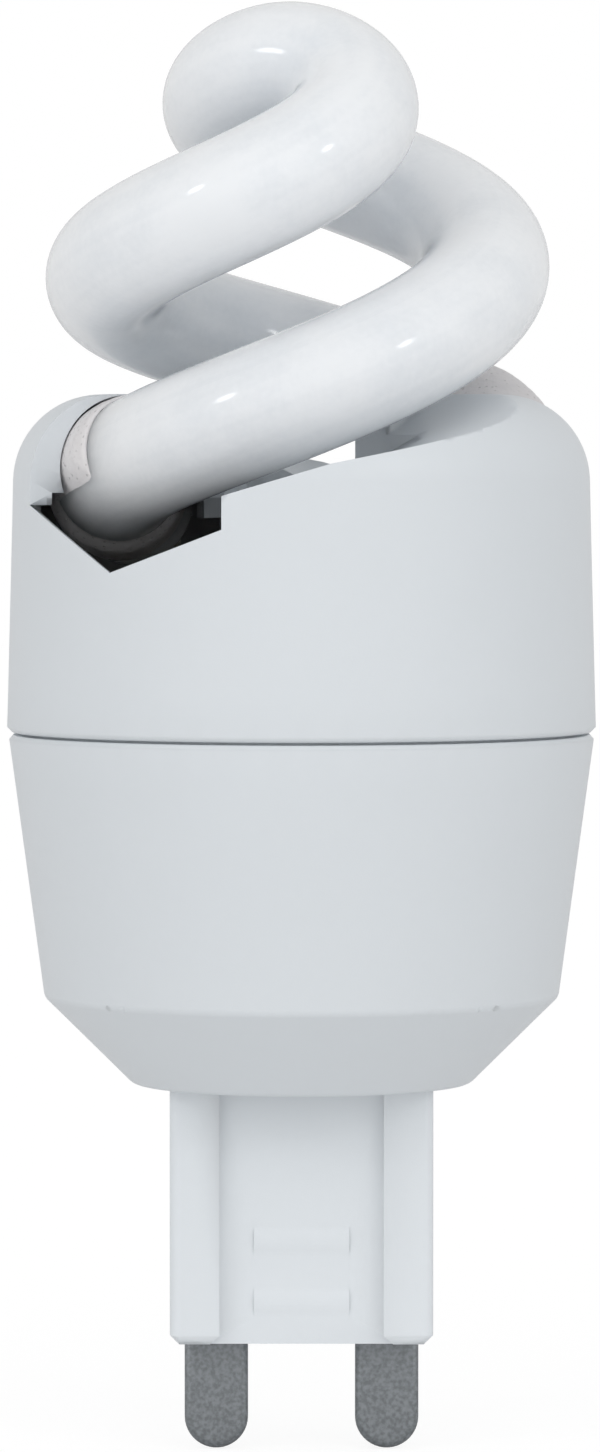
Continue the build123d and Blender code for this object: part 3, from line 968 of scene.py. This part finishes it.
@dataclass
class Mouldings:
    """The housing's two shells, the base block and the pins, shaded so that flat faces stay flat."""

    crease: float = 32.0
    weld: float = 0.0005 * MM
    flat_weight: int = 100
    slots: dict[str, str] = field(
        default_factory=lambda: {
            "upper_housing": "housing_plastic",
            "lower_housing": "housing_plastic",
            "base_block": "base_plastic",
            "pin_left": "nickel_plate",
            "pin_right": "nickel_plate",
        }
    )

    def reshaded(self, node: str, name: str) -> bpy.types.Object:
        """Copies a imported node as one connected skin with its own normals.

        Args:
            node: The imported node.
            name: The new piece's name.

        Returns:
            The copy, with its doubles merged, its curved faces smooth and its flat faces flat.
        """
        mesh = bpy.data.meshes.new(name + ".maker")
        skin = bmesh.new()
        skin.from_mesh(frame["nodes"][node].data)
        bmesh.ops.remove_doubles(skin, verts=skin.verts, dist=self.weld)
        skin.to_mesh(mesh)
        skin.free()
        mesh.shade_smooth()
        mesh.set_sharp_from_angle(angle=radians(self.crease))
        maker = new_object(name + ".maker", mesh)
        normals = maker.modifiers.new("flat_faces_stay_flat", "WEIGHTED_NORMAL")
        normals.keep_sharp = True
        normals.weight = self.flat_weight
        return settled(maker, name)

    def build(self, paints: Paintshop) -> None:
        """Dresses each moulding and each pin.

        Args:
            paints: The lamp's materials.
        """
        for node, slot in self.slots.items():
            piece = self.reshaded(node, node + "_skin")
            paints.coat(piece, slot)
            paints.carry(piece, slot, node)


class Ballast:
    """Everything inside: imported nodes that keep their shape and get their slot's finish."""

    def build(self, paints: Paintshop) -> None:
        """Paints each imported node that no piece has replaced.

        Args:
            paints: The lamp's materials.
        """
        for part in frame["record"]["subparts"]:
            if part["node"] not in paints.replaced:
                paints.coat(frame["nodes"][part["node"]], part["material_slot"])


@dataclass(frozen=True)
class Softbox:
    """A round soft light, turned to the right of the camera and raised over the floor."""

    name: str
    turn: float
    rise: float
    distance: float
    width: float
    watts: float


@dataclass
class Studio:
    """The camera at the photograph's place, the floor and the lights."""

    picture_height: int = 1452
    focal_pixels: float = 7174.0
    eye: tuple[float, float, float] = (-0.08 * MM, -377.6 * MM, 47.12 * MM)
    pitch_down: float = 2.246
    sensor_mm: float = 24.0
    nearest: float = 0.01
    farthest: float = 20.0
    floor_drop: float = 0.05 * MM
    floor_radius: float = 1.5
    floor_sides: int = 96
    floor_colour: Colour = (0.92, 0.92, 0.92)
    floor_glow: float = 0.8
    floor_strength: float = 1.08
    mirror_share: float = 0.4
    tent_front: float = 0.84
    tent_back: float = 0.62
    tent_start: float = -0.15
    top_dim: float = 0.16
    aim: tuple[float, float, float] = (0.0, 0.0, 45.0 * MM)
    softboxes: tuple[Softbox, ...] = (
        Softbox("left_softbox", -48.0, 24.0, 0.9, 0.12, 0.32),
        Softbox("right_softbox", 40.0, 22.0, 0.9, 0.11, 0.28),
    )

    def camera(self) -> None:
        """Sets the camera up."""
        data = bpy.data.cameras.new("camera")
        data.sensor_fit = "VERTICAL"
        data.sensor_height = self.sensor_mm
        data.lens = self.focal_pixels / self.picture_height * self.sensor_mm
        data.clip_start = self.nearest
        data.clip_end = self.farthest
        camera = new_object("camera", data)
        camera.location = self.eye
        camera.rotation_euler = (radians(90.0 - self.pitch_down), 0.0, 0.0)
        bpy.context.scene.camera = camera

    def floor(self) -> None:
        """Lays a pale floor that shows white and keeps the lamp's shadow."""
        mesh = bpy.data.meshes.new("floor")
        skin = bmesh.new()
        bmesh.ops.create_circle(skin, cap_ends=True, segments=self.floor_sides, radius=self.floor_radius)
        height = CAD_BOX[0][2] - self.floor_drop
        bmesh.ops.translate(skin, verts=skin.verts, vec=(0.0, 0.0, height))
        skin.to_mesh(mesh)
        skin.free()
        material = bpy.data.materials.new("floor")
        material.use_nodes = True
        graph = Graph(material.node_tree)
        seen = graph.add("ShaderNodeLightPath", output="Is Camera Ray")
        lit = graph.add("ShaderNodeBsdfDiffuse", None, {"Color": (*self.floor_colour, 1.0)})
        inputs = {"Color": WHITE, "Strength": self.floor_strength}
        bright = graph.add("ShaderNodeEmission", None, inputs)
        both = graph.add("ShaderNodeMixShader", None, {0: seen * self.floor_glow, 1: lit, 2: bright})
        graph.add("ShaderNodeOutputMaterial", None, {"Surface": both})
        mesh.materials.append(material)
        new_object("floor", mesh)

    def world(self) -> None:
        """Surrounds the lamp with a white tent that is brightest in front."""
        world = bpy.data.worlds.new("tent")
        world.use_nodes = True
        bpy.context.scene.world = world
        graph = Graph(world.node_tree)
        rays = ("Is Camera Ray", "Is Glossy Ray", "Is Transmission Ray")
        seen, mirrored, through = (graph.add("ShaderNodeLightPath", output=ray) for ray in rays)
        plain = (seen + mirrored * self.mirror_share + through).math("MINIMUM", 1.0)
        direction = graph.add("ShaderNodeTexCoord", output="Generated")
        front = (-direction.part("Y")).spread(self.tent_start, 1.0)
        above = direction.part("Z").spread(0.0, 1.0)
        tent = (front * self.tent_front + self.tent_back) * (1.0 - above * self.top_dim)
        inputs = {"Color": WHITE, "Strength": plain + (1.0 - plain) * tent}
        background = graph.add("ShaderNodeBackground", None, inputs)
        graph.add("ShaderNodeOutputWorld", None, {"Surface": background})

    def hang(self, box: Softbox) -> None:
        """Hangs a softbox so that it faces the glass.

        Args:
            box: The softbox.
        """
        data = bpy.data.lights.new(box.name, "AREA")
        data.shape = "DISK"
        data.size = box.width
        data.energy = box.watts
        turn, rise = radians(box.turn), radians(box.rise)
        away = Vector((cos(rise) * sin(turn), -cos(rise) * cos(turn), sin(rise)))
        light = new_object(box.name, data)
        light.location = Vector(self.aim) + away * box.distance
        light.rotation_euler = (-away).to_track_quat("-Z", "Y").to_euler()

    def build(self) -> None:
        """Sets up the whole studio."""
        self.camera()
        self.floor()
        self.world()
        for box in self.softboxes:
            self.hang(box)
        bpy.context.scene.view_settings.view_transform = "Standard"


def main() -> None:
    """Builds the lamp's looks in order."""
    logging.basicConfig(level=logging.INFO, format="%(name)s: %(message)s")
    paints = Paintshop()
    GlassCoil().build(paints)
    SealingCement().build(paints)
    Mouldings().build(paints)
    Ballast().build(paints)
    Studio().build()


if __name__ == "__main__":
    main()
